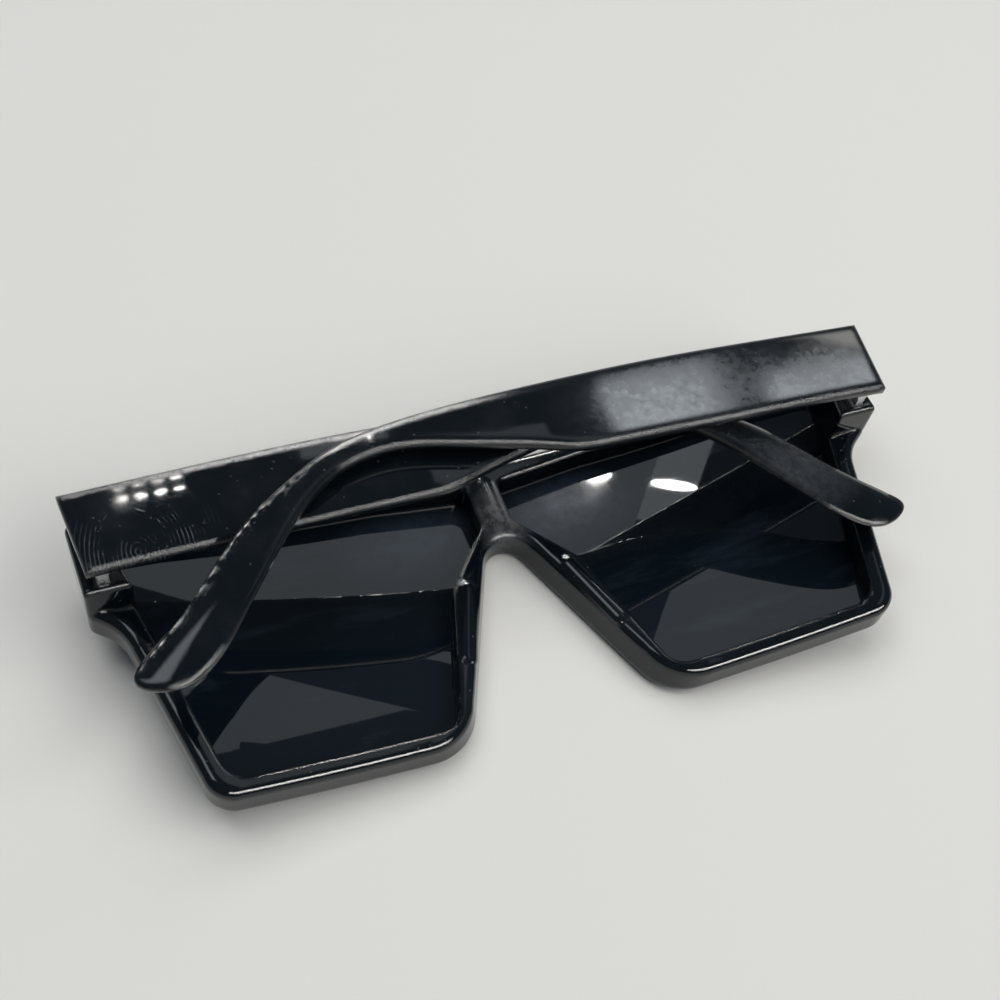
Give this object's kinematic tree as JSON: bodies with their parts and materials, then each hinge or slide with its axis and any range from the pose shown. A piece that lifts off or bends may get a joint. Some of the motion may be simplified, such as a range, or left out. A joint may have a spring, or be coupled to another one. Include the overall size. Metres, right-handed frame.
{
  "type": "sunglasses",
  "caption": "Oversized flat-top sunglasses with dark wrapped lenses, a keyhole nose arch and broad temples on screw hinges, stored folded and lying on the front.",
  "frame": {"origin": "on the middle plane, half-way up the front's outline, level with the lowest point of the front as it lies", "axes": "+X to the right in the picture, towards the right temple's hinge; +Y up the front towards the brow; +Z out of the back of the front, towards the wearer's face"},
  "size_m": [0.1485, 0.0526, 0.0321],
  "materials": {
    "frame_plastic": "polished black moulding",
    "temple_plastic": "polished black moulding with faint handling smears",
    "lens_plastic": "dark smoke tint, mirror-smooth",
    "hinge_metal": "plain stamped steel",
    "screw_metal": "turned steel"
  },
  "bodies": {
    "front": {"frame_front": "frame_plastic", "left_lens": "lens_plastic", "right_lens": "lens_plastic", "left_frame_hinge_leaf": "hinge_metal", "right_frame_hinge_leaf": "hinge_metal", "left_hinge_screw": "screw_metal", "right_hinge_screw": "screw_metal"},
    "left_temple_arm": {"left_temple": "temple_plastic", "left_temple_hinge_leaf": "hinge_metal"},
    "right_temple_arm": {"right_temple": "temple_plastic", "right_temple_hinge_leaf": "hinge_metal"}
  },
  "joints": [
    {"name": "left_temple_fold", "type": "hinge", "parent": "front", "child": "left_temple_arm", "pos_m": [-0.07, 0.015, 0.02478], "axis": [0, -1, 0], "range_deg": [0, 91.5]},
    {"name": "right_temple_fold", "type": "hinge", "parent": "front", "child": "right_temple_arm", "pos_m": [0.07, 0.015, 0.02478], "axis": [0, 1, 0], "range_deg": [0, 88]}
  ]
}
